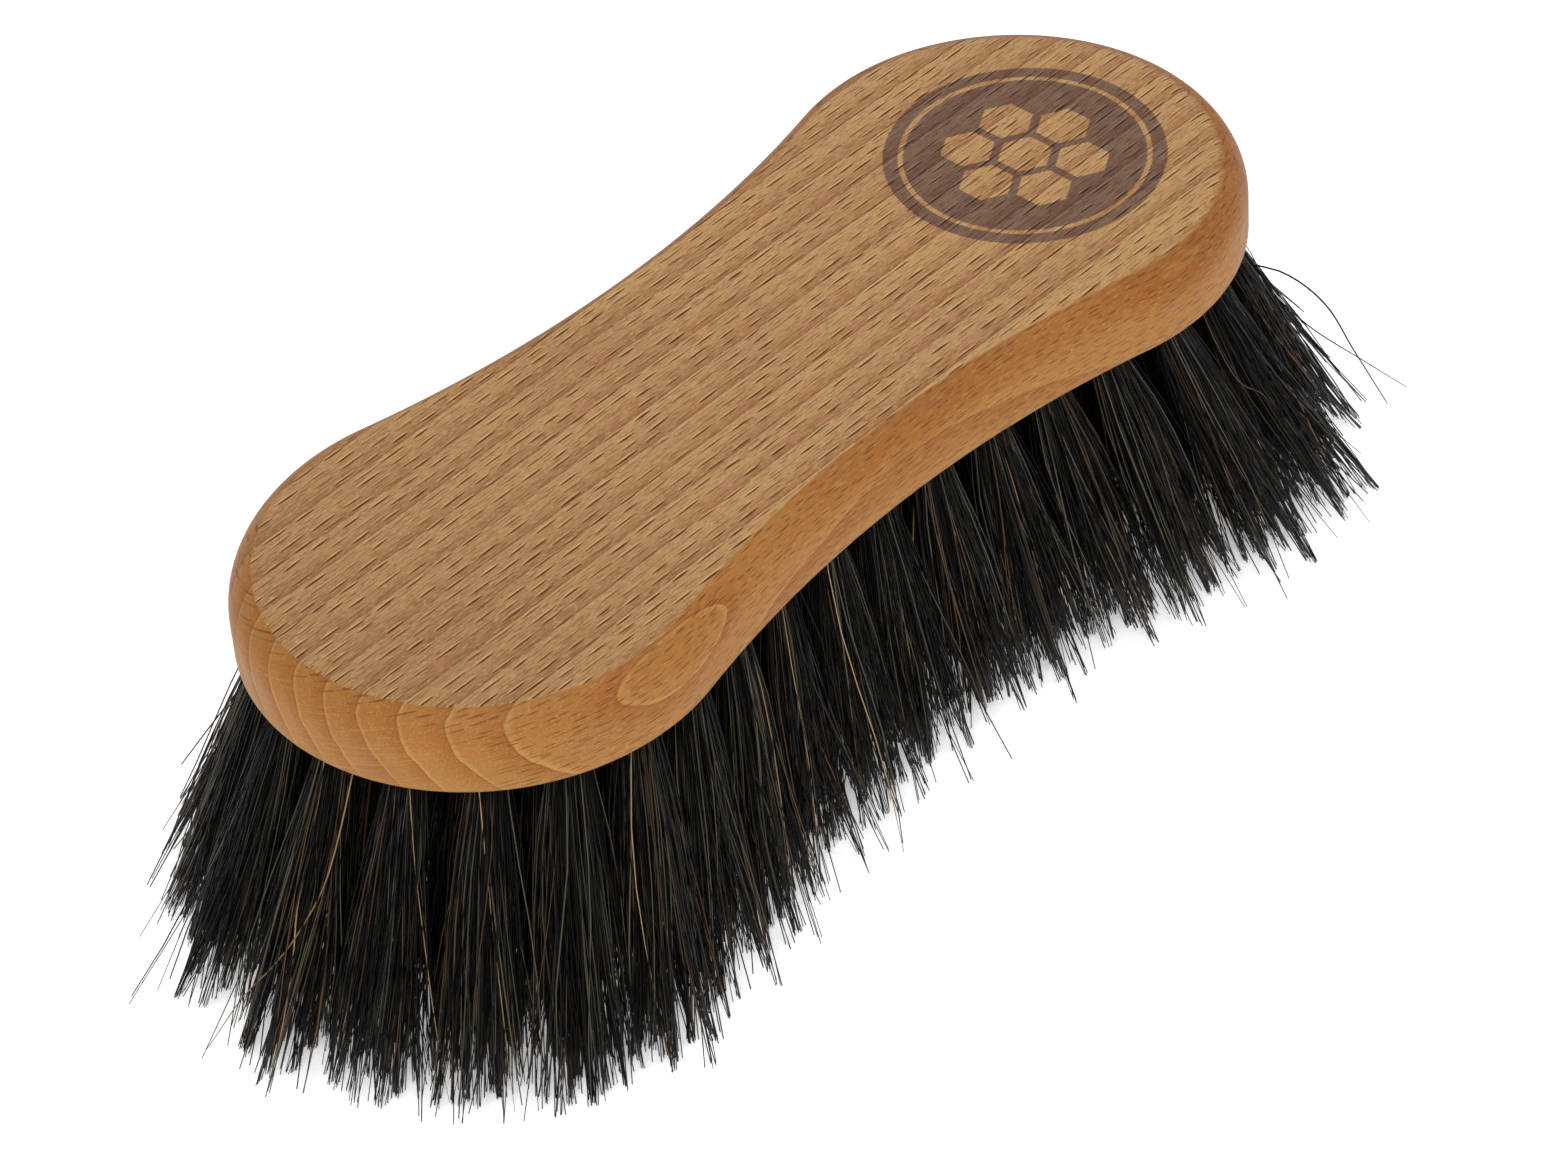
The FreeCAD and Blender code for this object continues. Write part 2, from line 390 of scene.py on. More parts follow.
def emblem(wood, x, y, flat):
    """The mask of the printed disc: seven comb cells and a thin line are left as bare wood."""
    from_x = wood.math("SUBTRACT", x, EMBLEM_X)
    from_y = wood.math("SUBTRACT", y, EMBLEM_Y)
    squared = wood.math("MULTIPLY_ADD", from_x, from_x, wood.math("MULTIPLY", from_y, from_y))
    ragged = wood.noise(wood.combine(wood.math("MULTIPLY", x, 0.3), y, 0.0), 3.0, 1.0)
    radius = moved(wood, wood.math("SQRT", squared), ragged, EMBLEM_RAGGED)
    disc = inside(wood, radius, EMBLEM_RADIUS)
    line = wood.math("ABSOLUTE", wood.math("SUBTRACT", radius, EMBLEM_LINE_RADIUS))
    bare = inside(wood, line, EMBLEM_LINE_WIDTH / 2, 0.1)
    beside = wood.math("ABSOLUTE", from_x)
    above = wood.math("ABSOLUTE", from_y)
    for centre_x, centre_y in (
        (0, 0),
        (CELL_PITCH, 0),
        (CELL_PITCH * math.cos(math.radians(60)), CELL_PITCH * math.sin(math.radians(60))),
    ):
        gap = moved(wood, hexagon(wood, beside, above, centre_x, centre_y), ragged, EMBLEM_RAGGED)
        bare = wood.math("MAXIMUM", bare, inside(wood, gap, (CELL_PITCH - CELL_GAP) / 2))
    worn = wood.noise(wood.combine(wood.math("MULTIPLY", x, 0.12), y, 0.0), 1.6, 3.0, 0.65)
    ink = wood.math("MULTIPLY", disc, wood.math("SUBTRACT", 1.0, bare))
    ink = wood.math("MULTIPLY", ink, wood.span(worn, 0.30, 0.55, 0.82, 1.0))
    return wood.math("MULTIPLY", ink, flat)


def bulge(wood, x, y, down):
    """How far the rings swell toward -Y around one place under the shoulder."""
    along = wood.math("DIVIDE", wood.math("SUBTRACT", x, BULGE_X), BULGE_REACH[0])
    below = wood.math("DIVIDE", wood.math("SUBTRACT", down, BULGE_DOWN), BULGE_REACH[1])
    apart = wood.math("MULTIPLY_ADD", along, along, wood.math("MULTIPLY", below, below))
    swell = wood.math("EXPONENT", wood.math("MULTIPLY", apart, -1.0))
    return wood.math("MULTIPLY", wood.math("MULTIPLY", swell, BULGE_DEPTH), wood.span(y, *BULGE_Y))


def growth_rings(wood, place, down):
    """Masks of the late wood, the dark line at a ring's end and the pale start of the next."""
    x, y, _ = place
    slow = layer(wood, place, *BEND_NOISE)
    ripple = layer(wood, place, *RIPPLE_NOISE)
    lean = wood.math("MULTIPLY_ADD", down, RING_SWEEP, RING_LEAN)
    ring = wood.math("MULTIPLY_ADD", down, lean, y)
    drift = wood.span(x, -RING_DRIFT_X, RING_DRIFT_X, *RING_DRIFT)
    ring = wood.math("MULTIPLY_ADD", drift, wood.span(down, *RING_DRIFT_DOWN), ring)
    ring = wood.math("SUBTRACT", ring, bulge(wood, x, y, down))
    ring = moved(wood, ring, slow, RING_BEND)
    ring = moved(wood, ring, ripple, RING_RIPPLE)
    wide = wood.span(ring, WIDE_RING_FROM, WIDE_RING_FROM - RING_SPACING, 0.0, -WIDER)
    count = wood.math("DIVIDE", wood.math("SUBTRACT", RING_START, ring), RING_SPACING)
    phase = wood.math("FRACT", wood.math("ADD", count, wide))
    late = wood.span(phase, 0.35, 0.98)
    line = wood.math("MULTIPLY", wood.span(phase, 0.92, 0.985), wood.span(phase, 1.0, 0.99))
    early = wood.math("MULTIPLY", wood.span(phase, 0.14, 0.03), wood.span(phase, 0.0, 0.02))
    return late, line, early


def beech():
    """Oiled beech: growth rings along the block, short dark ray flecks, a printed disc on the flat."""
    wood = Shader("beech")
    place = wood.place()
    x, y, z = place
    down = wood.math("SUBTRACT", top_z, z)
    normal = wood.separate(wood.node("NewGeometry").outputs["Normal"])
    side = wood.span(normal[2], 0.985, 0.90)
    flat = wood.math("SUBTRACT", 1.0, side)
    end_grain = wood.span(wood.math("ABSOLUTE", normal[0]), 0.55, 0.92)
    long_grain = wood.math("SUBTRACT", 1.0, end_grain)

    late, line, early = growth_rings(wood, place, down)
    fibre = layer(wood, place, *FIBRE_NOISE)
    streak = layer(wood, place, *STREAK_NOISE)
    patch = layer(wood, place, *PATCH_NOISE)
    grain = layer(wood, place, *GRAIN_NOISE)
    mottle = layer(wood, place, *MOTTLE_NOISE)

    # Ray flecks: rows on the flat, each with a painted glint (a pale highlight line) beside it, finer ones
    # between them, and others on the side
    course = moved(wood, y, layer(wood, place, *WINDING_NOISE), ROW_WINDING)
    fleck = dashes(wood, x, course, *FLECK_ROWS)
    glint_painted_mask = dashes(wood, x, course, *FLECK_ROWS, shift=GLINT_PAINTED_SHIFT)
    fine = dashes(wood, x, wood.math("ADD", course, FINE_SHIFT), *FINE_ROWS)
    slanted = (x, wood.math("MULTIPLY_ADD", y, 0.3, z), y)
    on_side = spindles(wood, slanted, SIDE_CELL, *SIDE_FLECK)

    top = wood.mix(late, TOP_EARLY, TOP_LATE)
    top = wood.tint(top, TOP_LINE, 0.65, line)
    top = wood.tint(top, TOP_START, 0.50, early)
    top = wood.tint(top, TOP_STREAK, 0.26, wood.span(streak, 0.53, 0.64))
    # Painted shade: the flat grows darker toward the -X end.
    top = wood.tint(top, TOP_NEAR_END_SHADE, 0.34, wood.span(x, -100.0, 10.0, 1.0, 0.0))

    edge = wood.mix(late, EDGE_EARLY, EDGE_LATE)
    marked = wood.span(x, -46.0, -22.0, 1.0, 0.25)
    edge = wood.tint(edge, EDGE_LINE, 0.60, line, marked)
    edge = wood.tint(edge, EDGE_START, 0.65, early, marked)
    # A darker, redder band just under the crease, in patches and stronger toward +X: partly painted shade
    # of the crease, partly the wood's redder hue.
    shoulder_shade_patches = wood.math(
        "MULTIPLY", wood.span(patch, 0.35, 0.6, 0.7, 1.0), wood.span(x, -60.0, 20.0, 0.30, 0.75)
    )
    edge = wood.tint(edge, EDGE_SHOULDER_SHADE, wood.span(down, 8.0, 2.5), shoulder_shade_patches)
    edge = wood.tint(edge, EDGE_FOOT, 0.45, wood.span(down, 10.0, 14.2))

    colour = wood.mix(side, top, edge)
    colour = wood.tint(colour, PATCH, 0.30, wood.span(patch, 0.50, 0.75))
    colour = wood.tint(colour, FIBRE_DARK, 0.30, wood.span(fibre, 0.52, 0.70))
    colour = wood.tint(colour, FIBRE_PALE, 0.30, wood.span(fibre, 0.48, 0.30))
    colour = wood.tint(colour, GRAIN, 0.14, wood.span(grain, 0.35, 0.65))
    depth = wood.math("MULTIPLY_ADD", flat, 0.38, 0.10)
    colour = wood.tint(colour, MOTTLE_DARK, depth, wood.span(mottle, 0.54, 0.72))
    colour = wood.tint(colour, MOTTLE_PALE, depth, wood.span(mottle, 0.46, 0.28))
    # Painted glint: a pale highlight line beside each dark fleck.
    colour = wood.tint(colour, GLINT_PAINTED_COLOUR, 0.50, glint_painted_mask, flat)
    colour = wood.tint(colour, FLECK_FINE, 0.56, fine, flat)
    colour = wood.tint(colour, FLECK, 0.95, fleck, flat)
    colour = wood.tint(colour, FLECK_SIDE, 0.65, on_side, side, long_grain)
    colour = wood.tint(colour, FLECK_END, 0.30, on_side, side, end_grain)
    colour = wood.mix(emblem(wood, x, y, flat), colour, INK, blend="MULTIPLY")

    pits = wood.math("MULTIPLY", on_side, wood.math("MULTIPLY", side, long_grain))
    pits = wood.math("MULTIPLY_ADD", fleck, flat, pits)
    bump = wood.node("Bump")
    bump.inputs["Strength"].default_value = 0.5
    bump.inputs["Distance"].default_value = 0.08 * MM
    wood.link(wood.math("SUBTRACT", wood.math("MULTIPLY", fibre, 0.8), pits), bump.inputs["Height"])
    wood.link(bump.outputs[0], wood.surface.inputs["Normal"])
    return wood.with_surface(Base_Color=colour, Roughness=0.5, Specular_IOR_Level=0.12)


# ---------------------------------------------------------------- block

OUTLINE_STEPS = 640
UNDERSIDE_EDGE_STEPS = 6
SHOULDER_STEPS = 13
CREASE_STEPS = 7
UNDERSIDE_RIM = 1.6  # how wide a band along the outline belongs to the underside ...
TOP_RIM = 1.0  # ... and to the flat, inside its crease
HOLE_SIDES = 20
CREASE_CRISP = 0.35  # how far the crease is rubbed down on each side of its line at -X ...
CREASE_WEAR = 2.4  # ... and how much further at +X
CREASE_WORN_FROM = 10.0
CREASE_WORN_TO = 85.0


def outline(count):
    """Points around the block's outline and their outward normals, at even steps from the +X end."""
    waist_half_turn = lobe_half_turn - math.pi / 2
    lobe_run = half_width * lobe_half_turn
    waist_run = waist_radius * waist_half_turn
    quarter = lobe_run + waist_run
    points = np.zeros((count, 2))
    normals = np.zeros((count, 2))
    for i in range(count):
        quadrant, share = divmod(4 * i / count, 1)
        along = share * quarter
        if quadrant in (1, 3):
            along = quarter - along
        if along <= lobe_run:
            turn = along / half_width
            normal = np.array([math.cos(turn), math.sin(turn)])
            point = np.array([lobe_x, 0]) + half_width * normal
        else:
            turn = (quarter - along) / waist_radius - math.pi / 2
            normal = -np.array([math.cos(turn), math.sin(turn)])
            point = np.array([0, waist_centre_y]) - waist_radius * normal
        flip = np.array([-1 if quadrant in (1, 2) else 1, -1 if quadrant in (2, 3) else 1])
        points[i] = point * flip
        normals[i] = normal * flip
    return points, normals


edge_points, edge_normals = outline(240)


def block_profile(x):
    """(inset, height) pairs up the edge of the block at one place along it, from below to the flat."""
    edge = UNDERSIDE_EDGE_RADIUS
    pairs = [(UNDERSIDE_RIM, underside_z)]
    for turn in np.linspace(0, math.pi / 2, UNDERSIDE_EDGE_STEPS + 1):
        pairs.append((edge * (1 - math.sin(turn)), underside_z + edge * (1 - math.cos(turn))))
    side_top = top_z + SHOULDER_PLANED - SHOULDER_RADIUS
    for share in (0.25, 0.5, 0.75):
        pairs.append((0.0, underside_z + edge + share * (side_top - underside_z - edge)))

    def on_shoulder(turn):
        return SHOULDER_RADIUS * (1 - math.cos(turn)), side_top + SHOULDER_RADIUS * math.sin(turn)

    last_turn = math.asin((SHOULDER_RADIUS - SHOULDER_PLANED) / SHOULDER_RADIUS)
    soft = float(CREASE_CRISP + CREASE_WEAR * ease(x, CREASE_WORN_FROM, CREASE_WORN_TO))
    before = last_turn - soft / SHOULDER_RADIUS
    for turn in np.linspace(0, before, SHOULDER_STEPS + 1):
        pairs.append(on_shoulder(turn))
    start = np.array(on_shoulder(before))
    corner = np.array(on_shoulder(last_turn))
    end = corner + (soft, 0)
    for share in np.linspace(0, 1, CREASE_STEPS + 1)[1:]:
        point = (1 - share) ** 2 * start + 2 * share * (1 - share) * corner + share**2 * end
        pairs.append(tuple(point))
    pairs.append((end[0] + TOP_RIM, top_z))
    return pairs


def make_block(material, seats):
    """The block as one smooth closed mesh, with its drilled holes."""
    points, normals = outline(OUTLINE_STEPS)
    profiles = [block_profile(point[0]) for point in points]
    bm = bmesh.new()
    rings = []
    for level in range(len(profiles[0])):
        ring = []
        for point, normal, profile in zip(points, normals, profiles):
            inset, height = profile[level]
            flat = point - inset * normal
            ring.append(bm.verts.new(Vector((flat[0], flat[1], height)) * MM))
        rings.append(ring)
    for below, above in zip(rings, rings[1:]):
        for i in range(OUTLINE_STEPS):
            after = (i + 1) % OUTLINE_STEPS
            face = bm.faces.new((below[i], below[after], above[after], above[i]))
            face.smooth = True
    bm.faces.new(rings[-1])

    # The underside, with a mouth for each hole, and the holes themselves
    loops = [rings[0]] + [drill(bm, seat) for seat in seats]
    flat = [[vert.co.copy() for vert in loop] for loop in loops]
    verts = [vert for loop in loops for vert in loop]
    for triangle in tessellate_polygon(flat):
        bm.faces.new([verts[i] for i in triangle])
    bmesh.ops.recalc_face_normals(bm, faces=bm.faces)
    mesh = bpy.data.meshes.new("block")
    bm.to_mesh(mesh)
    bm.free()
    return add_object("beech_block", mesh, material)


def drill(bm, seat):
    """Adds a hole's wall and point to the mesh, and returns the loop of its mouth in the underside."""
    up = unit(seat.root - seat.tip)
    across = unit(np.cross(up, (1.0, 0.0, 0.0)))
    along = np.cross(across, up)
    mouth = []
    shoulder = []
    for turn in np.arange(HOLE_SIDES) * 2 * math.pi / HOLE_SIDES:
        radial = HOLE_RADIUS * (math.cos(turn) * along + math.sin(turn) * across)
        at_root = seat.root + radial
        at_mouth = at_root + up * (underside_z - at_root[2]) / up[2]
        mouth.append(bm.verts.new(Vector(at_mouth) * MM))
        shoulder.append(bm.verts.new(Vector(at_root + up * HOLE_DEPTH) * MM))
    apex = bm.verts.new(Vector(seat.root + up * (HOLE_DEPTH + HOLE_POINT)) * MM)
    for i in range(HOLE_SIDES):
        after = (i + 1) % HOLE_SIDES
        wall = bm.faces.new((mouth[i], mouth[after], shoulder[after], shoulder[i]))
        wall.smooth = True
        bm.faces.new((shoulder[i], shoulder[after], apex))
    return mouth


# ---------------------------------------------------------------- tufts

TIP_BAND = 0.1  # how near the trim plane, and the underside, a solid's points count as its tip and root
ROOT_BAND = 1.4
WELD = 0.001

HAIRS = 390
HAIR_RINGS = 7
HAIR_SIDES = 3
LOCKS = 12  # locks that the whole tuft falls into
WISPS = 70  # few hairs that stick together at their tips
SPREAD_ALONG = 1.50  # how far the tips spread past the plain solid's, along the row ...
SPREAD_OUT = 1.15  # ... and away from the block
SPREAD_CURVE = 0.95
ROOT_FILL = 0.93  # how much of the hole's width the hairs fill
HIDDEN_ROOT = 3.0  # how far the hairs start inside the hole
TIP_KEEPS = 0.72  # how much of its place at the root a hair keeps at its tip ...
TIP_STRAYS = 0.34  # ... and how far it strays from it
WISP_REACH = 1.02
LOCK_HOLD = (0.10, 0.38)  # how hard a hair is drawn to its lock, and from which share of its length ...
LOCK_FROM = 0.1
WISP_CLING = (0.70, 1.0)  # ... and the same for its wisp
WISP_FROM = 0.40

# How much shorter than the trim plane: every wisp, then a share of them and a new span, and the same again
WISP_CUT = (0.0, 1.5)
SHORT_WISPS = (0.55, (1.5, 8.0))
SHORTEST_WISPS = (0.12, (8.0, 15.0))
HAIR_CUT = 0.7
STUBS = (0.06, (4.0, 22.0))

# How far the tips lean, as a spread or as a share of them and a span
WISP_LEAN = 1.4
HAIR_LEAN = 0.4
SPLAYED = (0.30, (1.5, 7.5))
STRAY_SHARE = 0.035
STRAY_LEAN = 4.5
LEAN_CURVE = 1.8
BOW = 0.9
WAVE = 0.45

THICKNESS = (0.09, 0.15)
TAPER = ((0, 0.8, 1), (1, 1, 0.8))  # places along a hair, and its thickness there
DARK_TONE = 0.4  # most tones are below this, and crowd toward 0; the greys near it are painted sheen
DARK_CURVE = 3.2
BROWN = (0.04, (0.5, 0.7))
STRAW = (0.007, (0.8, 1.0))
# The grey at 0.40 is painted sheen: lighter hairs that stand in for highlights on the hair.
HAIR_COLOURS = [
    (0.0, linear(4, 3, 2)),
    (0.12, linear(14, 12, 9)),
    (0.40, linear(86, 79, 66)),
    (0.50, linear(60, 42, 28)),
    (0.70, linear(92, 66, 44)),
    (0.80, linear(138, 106, 74)),
    (1.0, linear(182, 152, 112)),
]
TIP_COLOUR = linear(60, 46, 34)
MAP_MARGIN = 0.1  # around each hair in its cell of the map


class Seat:
    """Where one tuft leaves its hole and where it meets the trim plane, read from its solid."""

    def __init__(self, points):
        at_tip = points[points[:, 2] < TIP_BAND]
        at_root = points[abs(points[:, 2] - underside_z) < ROOT_BAND]
        self.tip = (at_tip.min(0) + at_tip.max(0)) / 2
        root = (at_root.min(0) + at_root.max(0)) / 2
        self.root = self.tip + (root - self.tip) * (underside_z / (root[2] - self.tip[2]))
        self.tip_radius = np.ptp(at_tip[:, 1]) / 2
        self.root_radius = np.ptp(at_root[:, 1]) / 2
        nearest_edge = np.linalg.norm(edge_points - self.root[:2], axis=1).argmin()
        self.outward = edge_normals[nearest_edge]
        self.along = np.array([-self.outward[1], self.outward[0]])


def seats_of(node):
    """The seat of each separate solid in a node."""
    bm = bmesh.new()
    bm.from_mesh(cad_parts[node].data)
    bmesh.ops.remove_doubles(bm, verts=bm.verts, dist=WELD * MM)
    left = set(bm.verts)
    found = []
    while left:
        group = []
        queue = [left.pop()]
        while queue:
            vert = queue.pop()
            group.append(np.array(vert.co) / MM)
            for edge in vert.link_edges:
                other = edge.other_vert(vert)
                if other in left:
                    left.remove(other)
                    queue.append(other)
        found.append(np.array(group))
    bm.free()
    found.sort(key=lambda group: tuple(np.round(group.mean(0), 2)))
    return [Seat(group) for group in found]


def unit(vectors):
    return vectors / np.linalg.norm(vectors, axis=-1, keepdims=True)


def even_disc(rng, count):
    """Places spread evenly over a disc of radius 1."""
    radius = np.sqrt(rng.random(count))
    turn = rng.random(count) * 2 * math.pi
    return np.stack([radius * np.cos(turn), radius * np.sin(turn)], axis=1)


def nearest(places, centres):
    """The number of the centre that is nearest to each place."""
    return np.linalg.norm(places[:, None] - centres[None], axis=2).argmin(1)


def drawn_to(spot, centres, strength, share):
    """Places drawn toward their centres, by each hair's strength and a share for each ring."""
    pull = (strength[:, None] * share)[..., None]
    return spot * (1 - pull) + centres[:, None] * pull


def redrawn(rng, values, chance, share, span):
    """The values, with those whose chance is under a share drawn again from a span."""
    return np.where(chance < share, rng.uniform(*span, len(values)), values)


def grow(seat, rng):
    """The paths, radii and tones of one tuft's hairs: (hairs, rings, 3), (hairs, rings) and (hairs,)."""
    at_root = even_disc(rng, HAIRS)
    at_tip = TIP_KEEPS * at_root + TIP_STRAYS * even_disc(rng, HAIRS)
    locks = even_disc(rng, LOCKS)
    wisps = even_disc(rng, WISPS) * WISP_REACH
    lock = nearest(at_root, locks)
    wisp = nearest(at_tip, wisps)

    kind = rng.random(WISPS)
    wisp_short = rng.uniform(*WISP_CUT, WISPS)
    wisp_short = redrawn(rng, wisp_short, kind, *SHORT_WISPS)
    wisp_short = redrawn(rng, wisp_short, kind, *SHORTEST_WISPS)
    short = wisp_short[wisp] + abs(rng.normal(0, HAIR_CUT, HAIRS))
    short = redrawn(rng, short, rng.random(HAIRS), *STUBS)

    # The share of the way from root to tip at each ring, which is below 0 inside the hole
    start = -HIDDEN_ROOT / underside_z
    end = 1 - short / underside_z
    s = start + (end - start)[:, None] * np.linspace(0, 1, HAIR_RINGS)[None]
    out = np.clip(s, 0, None)
    spread = np.array([SPREAD_ALONG, SPREAD_OUT]) * seat.tip_radius
    root_width = seat.root_radius * ROOT_FILL
    width = root_width + (spread - root_width) * out[..., None] ** SPREAD_CURVE

    spot = at_root[:, None] * (1 - out[..., None]) + at_tip[:, None] * out[..., None]
    spot = drawn_to(spot, locks[lock], rng.uniform(*LOCK_HOLD, HAIRS), ease(out, LOCK_FROM, 1.0))
    spot = drawn_to(spot, wisps[wisp], rng.uniform(*WISP_CLING, HAIRS), ease(out, WISP_FROM, 1.0))

    lean = rng.normal(0, WISP_LEAN, (WISPS, 2))[wisp] + rng.normal(0, HAIR_LEAN, (HAIRS, 2))
    splay = redrawn(rng, np.zeros(WISPS), rng.random(WISPS), *SPLAYED)
    lean = lean + splay[wisp][:, None] * seat.outward
    stray = rng.random(HAIRS) < STRAY_SHARE
    lean = np.where(stray[:, None], rng.normal(0, STRAY_LEAN, (HAIRS, 2)), lean)
    bow = rng.normal(0, BOW, (HAIRS, 2))
    wave = rng.normal(0, WAVE, (HAIRS, 2))

    paths = seat.root + (seat.tip - seat.root) * s[..., None]
    paths[..., :2] += (spot * width) @ np.array([seat.along, seat.outward])
    paths[..., :2] += lean[:, None] * out[..., None] ** LEAN_CURVE
    paths[..., :2] += bow[:, None] * np.sin(math.pi * out)[..., None]
    paths[..., :2] += wave[:, None] * np.sin(2 * math.pi * out)[..., None]

    thick = rng.uniform(*THICKNESS, HAIRS)
    radii = thick[:, None] * np.interp(np.linspace(0, 1, HAIR_RINGS), *TAPER)[None]

    # Tones differ at random from hair to hair; the lighter greys among them are painted sheen.
    tones = rng.random(HAIRS) ** DARK_CURVE * DARK_TONE
    tones = redrawn(rng, tones, rng.random(HAIRS), *BROWN)
    tones = redrawn(rng, tones, rng.random(HAIRS), *STRAW)
    return paths, radii, tones


def point_values(mesh, name, values):
    """Stores one number for each vertex."""
    mesh.attributes.new(name, "FLOAT", "POINT").data.foreach_set("value", values.astype(np.float32))


def hair_mesh(name, paths, radii, tones, rolls):
    """Closed thin tubes along the paths, with a tone and a place along the hair on each vertex."""
    hairs, rings, _ = paths.shape
    sides = HAIR_SIDES
    tangent = unit(np.gradient(paths, axis=1))
    first = unit(np.cross(tangent, (1.0, 0.0, 0.0)))
    second = np.cross(tangent, first)
    turn = rolls[:, None] + 2 * math.pi * np.arange(sides)[None] / sides
    ring = (
        np.cos(turn)[:, None, :, None] * first[:, :, None]
        + np.sin(turn)[:, None, :, None] * second[:, :, None]
    )
    verts = paths[:, :, None] + ring * radii[:, :, None, None]
    per_hair = rings * sides
    base = np.arange(hairs) * per_hair

    j, k = (grid.ravel() for grid in np.meshgrid(np.arange(rings - 1), np.arange(sides), indexing="ij"))
    after = (k + 1) % sides
    below, above = j * sides, (j + 1) * sides
    quads = np.stack([below + k, below + after, above + after, above + k], axis=1)
    caps = np.array([np.arange(sides)[::-1], (rings - 1) * sides + np.arange(sides)])
    loops = np.concatenate([quads.ravel(), caps.ravel()])
    totals = np.concatenate([np.full(len(quads), 4), np.full(2, sides)])
    all_loops = (base[:, None] + loops[None]).ravel()
    all_totals = np.tile(totals, hairs)
    starts = np.concatenate([[0], np.cumsum(all_totals)[:-1]])

    mesh = bpy.data.meshes.new(name)
    mesh.vertices.add(hairs * per_hair)
    mesh.vertices.foreach_set("co", (verts * MM).astype(np.float32).ravel())
    mesh.loops.add(len(all_loops))
    mesh.loops.foreach_set("vertex_index", all_loops.astype(np.int32))
    mesh.polygons.add(len(all_totals))
    mesh.polygons.foreach_set("loop_start", starts.astype(np.int32))
    mesh.polygons.foreach_set("loop_total", all_totals.astype(np.int32))
    mesh.polygons.foreach_set("use_smooth", np.ones(len(all_totals), bool))
    mesh.update(calc_edges=True)
    point_values(mesh, "tone", np.repeat(tones, per_hair))
    point_values(mesh, "along", np.tile(np.repeat(np.linspace(0, 1, rings), sides), hairs))

    # A cell of the map for each hair: its sides across, its length up
    columns = math.ceil(math.sqrt(hairs))
    quad_u = np.stack([k, k + 1, k + 1, k], axis=1) / sides
    quad_v = np.stack([j, j, j + 1, j + 1], axis=1) / (rings - 1)
    cap_u = np.tile(np.arange(sides) / sides, 2)
    cap_v = np.repeat([0.0, 1.0], sides)
    local = np.stack(
        [np.concatenate([quad_u.ravel(), cap_u]), np.concatenate([quad_v.ravel(), cap_v])], axis=1
    )
    corner = np.stack([np.arange(hairs) % columns, np.arange(hairs) // columns], axis=1)
    places = (corner[:, None] + MAP_MARGIN + (1 - 2 * MAP_MARGIN) * local[None]) / columns
    layer = mesh.uv_layers.new(name="OFBake")
    layer.data.foreach_set("uv", places.astype(np.float32).ravel())
    return mesh


def horsehair():
    """Blackish-brown hair, some of it grey as painted sheen, with a few brown and straw-coloured ones."""
    hair = Shader("horsehair")
    colour = hair.ramp(hair.attribute("tone"), HAIR_COLOURS)
    colour = hair.tint(colour, TIP_COLOUR, 0.05, hair.span(hair.attribute("along"), 0.8, 1.0))
    return hair.with_surface(Base_Color=colour, Roughness=0.34, Specular_IOR_Level=0.13)


def make_tufts(node, seats, material, rng):
    """Hairs in place of the solids of one node."""
    grown = [grow(seat, rng) for seat in seats]
    paths, radii, tones = (np.concatenate(parts) for parts in zip(*grown))
    rolls = rng.random(len(paths)) * 2 * math.pi
    name = node.replace("tuft", "hair", 1)
    piece = add_object(name, hair_mesh(name, paths, radii, tones, rolls), material)
    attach(piece, "root")
    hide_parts(node)


# Long hairs that have worked loose from the outer row: the lobe, the turn around its middle at the root and
# at the tip, the places along the hair as (out from the row, down from the block), the radius and the tone
LOOSE_HAIRS = (
    (1, -40, -40, ((0, 2), (5, -11), (15, -17), (22, -25), (27, -36), (33, -49)), 0.20, 0.05),
    (1, -40, -38, ((0, 2), (4, -12), (13, -22), (20, -31), (29, -40), (37, -48)), 0.15, 0.10),
    (1, -62, -50, ((0, 2), (2, -12), (8, -24), (16, -34), (25, -40)), 0.15, 0.10),
    (1, -75, -55, ((0, 2), (7.5, -20), (12, -26), (14, -33), (17, -40), (21, -47)), 0.13, 0.72),
    (-1, 150, 150, ((0, 2), (7, -4), (10, -5), (13, -7)), 0.08, 0.05),
    (-1, 180, 184, ((2, 2), (10, -18), (15, -27), (18.5, -37), (23, -46), (28, -54)), 0.14, 0.90),
    (-1, 190, 173, ((2, 2), (10.5, -20), (15.5, -30), (20, -37), (25, -43), (31, -53)), 0.14, 0.80),
    (-1, 204, 213, ((2, 2), (8, -15), (12.5, -28), (17.5, -41), (22, -54)), 0.10, 0.86),
    (-1, 222, 224, ((2, 2), (9, -15), (14, -28), (19, -41), (24, -54)), 0.11, 0.92),
)
LOOSE_RINGS = 25
LOOSE_TAPER = ((0, 0.6, 1), (1, 1, 0.6))


def through(points, count):
    """Evenly many places on a smooth curve through the points (Catmull-Rom)."""
    points = np.vstack([2 * points[0] - points[1], points, 2 * points[-1] - points[-2]])
    spans = len(points) - 3
    places = []
    for share in np.linspace(0, spans, count):
        i = min(int(share), spans - 1)
        t = share - i
        before, here, there, after = points[i : i + 4]
        linear_part = (there - before) * t
        square_part = (2 * before - 5 * here + 4 * there - after) * t**2
        cube_part = (3 * here - before - 3 * there + after) * t**3
        places.append(here + (linear_part + square_part + cube_part) / 2)
    return np.array(places)


